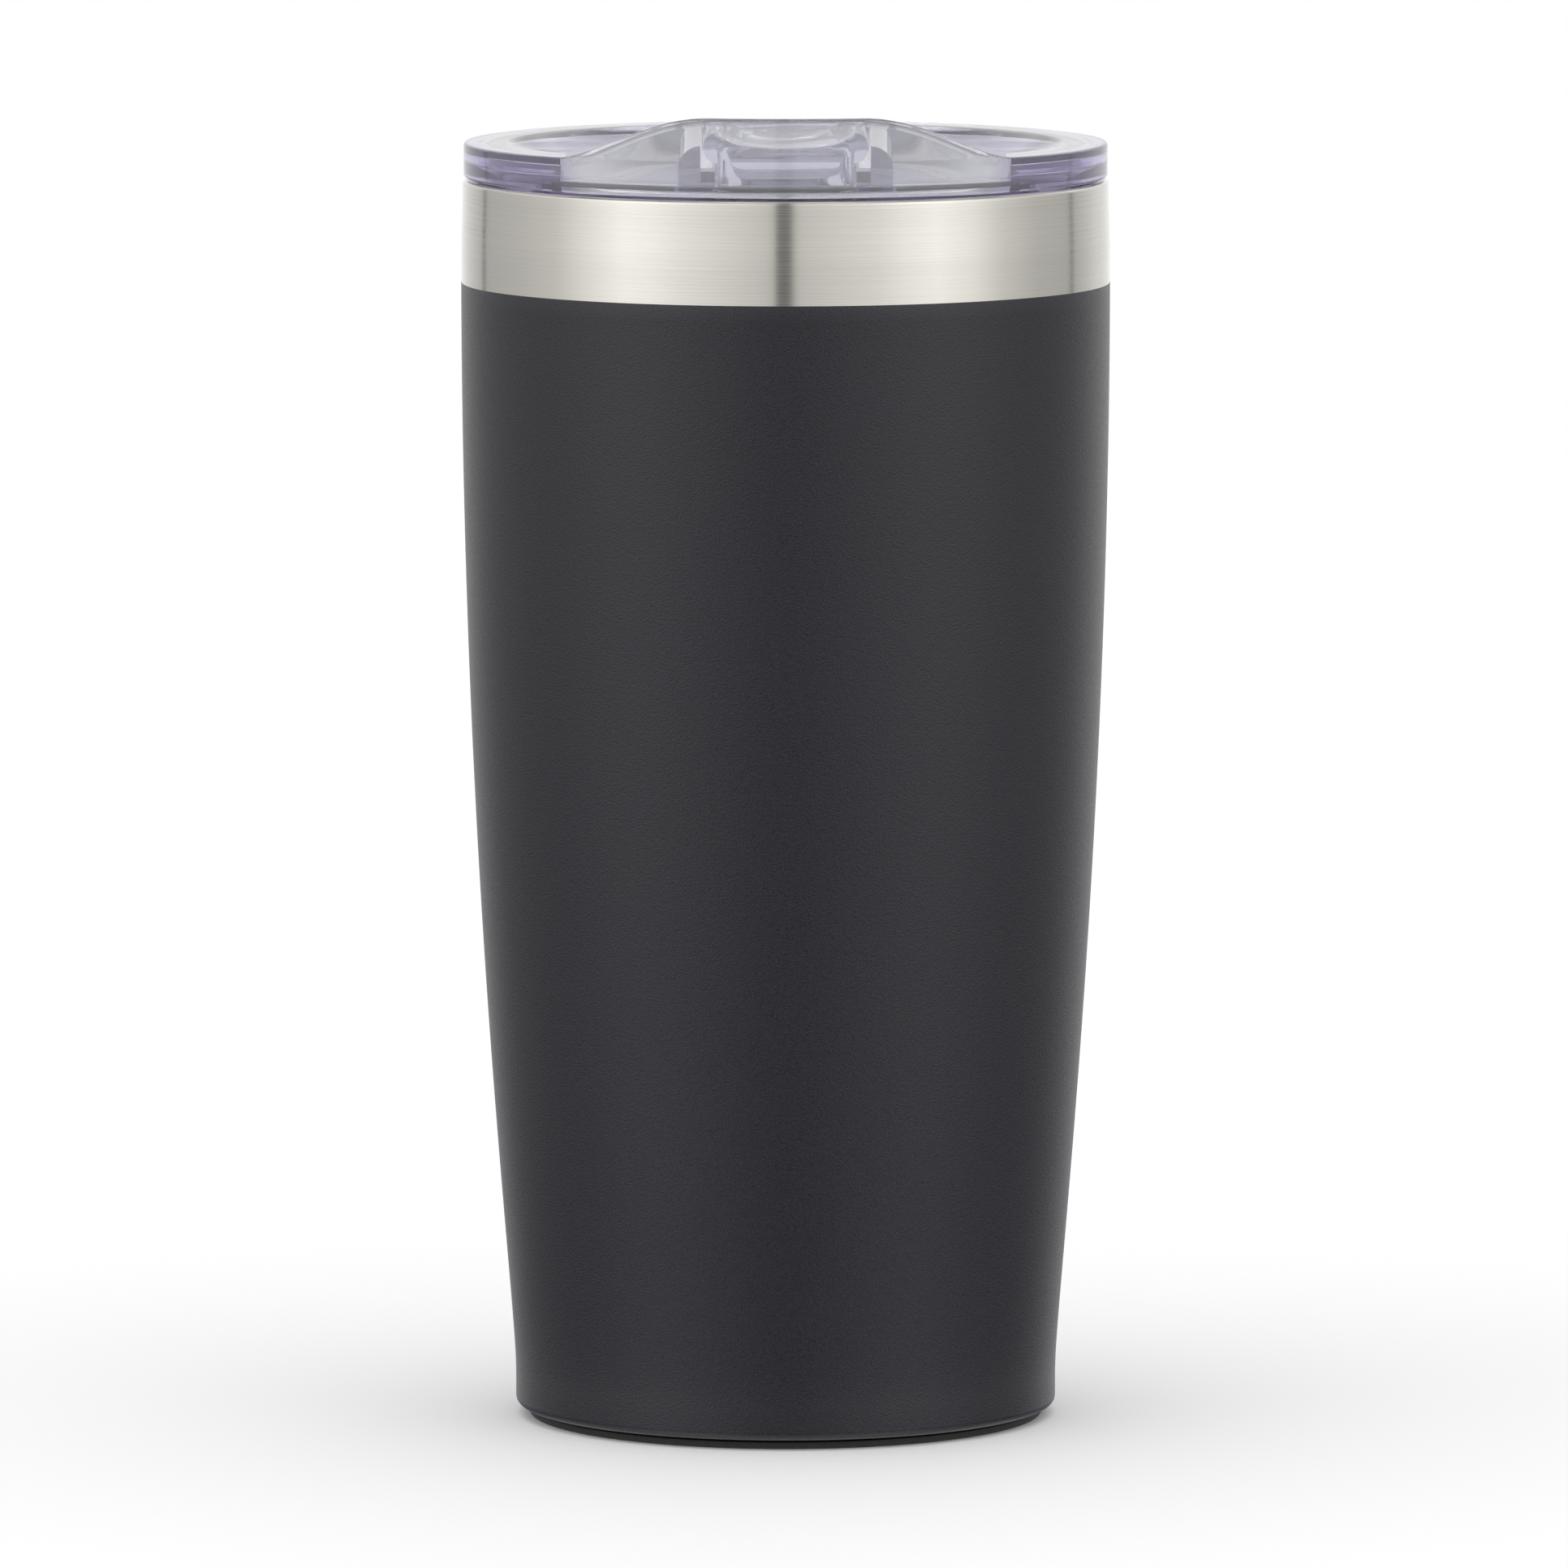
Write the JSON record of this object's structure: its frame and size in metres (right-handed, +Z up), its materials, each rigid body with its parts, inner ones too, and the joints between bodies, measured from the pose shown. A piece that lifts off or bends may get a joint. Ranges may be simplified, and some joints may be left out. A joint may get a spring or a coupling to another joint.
{
  "type": "insulated tumbler with lid",
  "caption": "Tapered insulated steel tumbler with a bare steel band at the mouth and a clear push-in lid with a raised drinking lip and a sliding closure.",
  "frame": {"origin": "centre of the foot pad's underside, on the axis of the tumbler", "axes": "+Z up along the axis of the tumbler; the drinking side of the lid faces -Y; +X to the right of someone who looks at that side"},
  "size_m": [0.0882, 0.0882, 0.1799],
  "materials": {
    "powder_coat": "matt powder coat with a fine grain",
    "liner_steel": "brushed round the axis",
    "solder_glass": "fused",
    "getter_metal": "sintered",
    "copper_foil": "bright foil",
    "adhesive": "film",
    "foot_rubber": "matt",
    "clear_plastic": "clear with a faint violet tint",
    "clear_silicone": "translucent"
  },
  "bodies": {
    "cup": {"outer_shell": "powder_coat", "inner_liner": "liner_steel", "vacuum_base": "liner_steel", "glass_seal": "solder_glass", "getter": "getter_metal", "getter_clip": "liner_steel", "heat_foil": "copper_foil", "pad_adhesive": "adhesive", "base_pad": "foot_rubber"},
    "lid": {"lid_cover": "clear_plastic", "lid_gasket": "clear_silicone"},
    "closure": {"slider": "clear_plastic", "slider_seal": "clear_silicone", "slider_retainer": "clear_plastic"}
  },
  "joints": [
    {"name": "lid_lift", "type": "slide", "parent": "cup", "child": "lid", "axis": [0, 0, 1], "range_m": [0, 0.06]},
    {"name": "slider_slide", "type": "slide", "parent": "lid", "child": "closure", "axis": [0, 1, 0], "range_m": [0, 0.016]}
  ]
}
